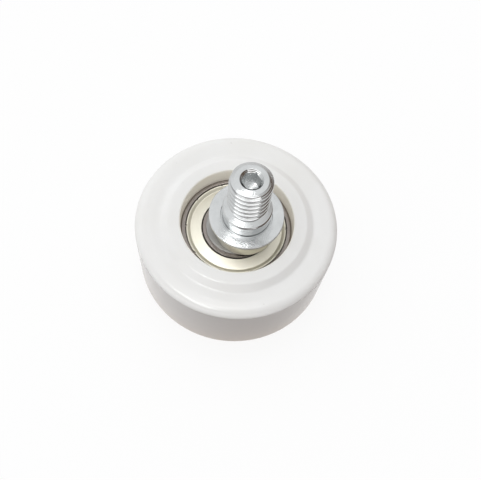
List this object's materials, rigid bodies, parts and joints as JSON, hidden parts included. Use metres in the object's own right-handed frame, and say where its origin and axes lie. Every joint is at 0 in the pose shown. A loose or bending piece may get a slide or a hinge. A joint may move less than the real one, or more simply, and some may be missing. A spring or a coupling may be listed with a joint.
{
  "type": "eccentric roller",
  "caption": "White plastic roller on a shielded ball bearing, carried by an eccentric steel stud with a flange, a boss, a metric thread and a hexagon socket for setting it.",
  "frame": {"origin": "centre of the wheel's lower face, on the bearing's axis", "axes": "+Z along the bearing's axis towards the thread, +X towards the thread's offset axis"},
  "size_m": [0.05, 0.05, 0.0412],
  "materials": {
    "white_polyamide": "moulded, slightly waxy",
    "ring_steel": "ground",
    "shield_steel": "pressed sheet, satin",
    "zinc_plated_steel": "turned and bright zinc plated",
    "spring_steel": "hardened, phosphated dark",
    "cage_steel": "pressed sheet",
    "ball_steel": "polished"
  },
  "bodies": {
    "stud": {"eccentric_stud": "zinc_plated_steel", "bearing_inner_ring": "ring_steel", "retaining_ring": "spring_steel"},
    "wheel": {"roller_wheel": "white_polyamide", "bearing_outer_ring": "ring_steel", "front_shield": "shield_steel", "rear_shield": "shield_steel"},
    "cage": {"front_cage_half": "cage_steel", "rear_cage_half": "cage_steel", "cage_rivets": "cage_steel"},
    "ball_body_1": {"ball_1": "ball_steel"},
    "ball_body_2": {"ball_2": "ball_steel"},
    "ball_body_3": {"ball_3": "ball_steel"},
    "ball_body_4": {"ball_4": "ball_steel"},
    "ball_body_5": {"ball_5": "ball_steel"},
    "ball_body_6": {"ball_6": "ball_steel"},
    "ball_body_7": {"ball_7": "ball_steel"},
    "ball_body_8": {"ball_8": "ball_steel"}
  },
  "joints": [
    {"name": "roller_spin", "type": "hinge", "parent": "stud", "child": "wheel", "pos_m": [0, 0, 0.0133], "axis": [0, 0, 1], "continuous": true},
    {"name": "cage_orbit", "type": "hinge", "parent": "stud", "child": "cage", "pos_m": [0, 0, 0.0133], "axis": [0, 0, 1], "continuous": true},
    {"name": "ball_1_spin", "type": "hinge", "parent": "cage", "child": "ball_body_1", "pos_m": [0.01, 0, 0.0133], "axis": [0, 0, 1], "continuous": true},
    {"name": "ball_2_spin", "type": "hinge", "parent": "cage", "child": "ball_body_2", "pos_m": [0.00707, 0.00707, 0.0133], "axis": [0, 0, 1], "continuous": true},
    {"name": "ball_3_spin", "type": "hinge", "parent": "cage", "child": "ball_body_3", "pos_m": [0, 0.01, 0.0133], "axis": [0, 0, 1], "continuous": true},
    {"name": "ball_4_spin", "type": "hinge", "parent": "cage", "child": "ball_body_4", "pos_m": [-0.00707, 0.00707, 0.0133], "axis": [0, 0, 1], "continuous": true},
    {"name": "ball_5_spin", "type": "hinge", "parent": "cage", "child": "ball_body_5", "pos_m": [-0.01, 0, 0.0133], "axis": [0, 0, 1], "continuous": true},
    {"name": "ball_6_spin", "type": "hinge", "parent": "cage", "child": "ball_body_6", "pos_m": [-0.00707, -0.00707, 0.0133], "axis": [0, 0, 1], "continuous": true},
    {"name": "ball_7_spin", "type": "hinge", "parent": "cage", "child": "ball_body_7", "pos_m": [0, -0.01, 0.0133], "axis": [0, 0, 1], "continuous": true},
    {"name": "ball_8_spin", "type": "hinge", "parent": "cage", "child": "ball_body_8", "pos_m": [0.00707, -0.00707, 0.0133], "axis": [0, 0, 1], "continuous": true}
  ],
  "couplings": [
    {"joint": "cage_orbit", "follows": "roller_spin", "ratio": 0.61905},
    {"joint": "ball_1_spin", "follows": "roller_spin", "ratio": 1.9809},
    {"joint": "ball_2_spin", "follows": "roller_spin", "ratio": 1.9809},
    {"joint": "ball_3_spin", "follows": "roller_spin", "ratio": 1.9809},
    {"joint": "ball_4_spin", "follows": "roller_spin", "ratio": 1.9809},
    {"joint": "ball_5_spin", "follows": "roller_spin", "ratio": 1.9809},
    {"joint": "ball_6_spin", "follows": "roller_spin", "ratio": 1.9809},
    {"joint": "ball_7_spin", "follows": "roller_spin", "ratio": 1.9809},
    {"joint": "ball_8_spin", "follows": "roller_spin", "ratio": 1.9809}
  ]
}
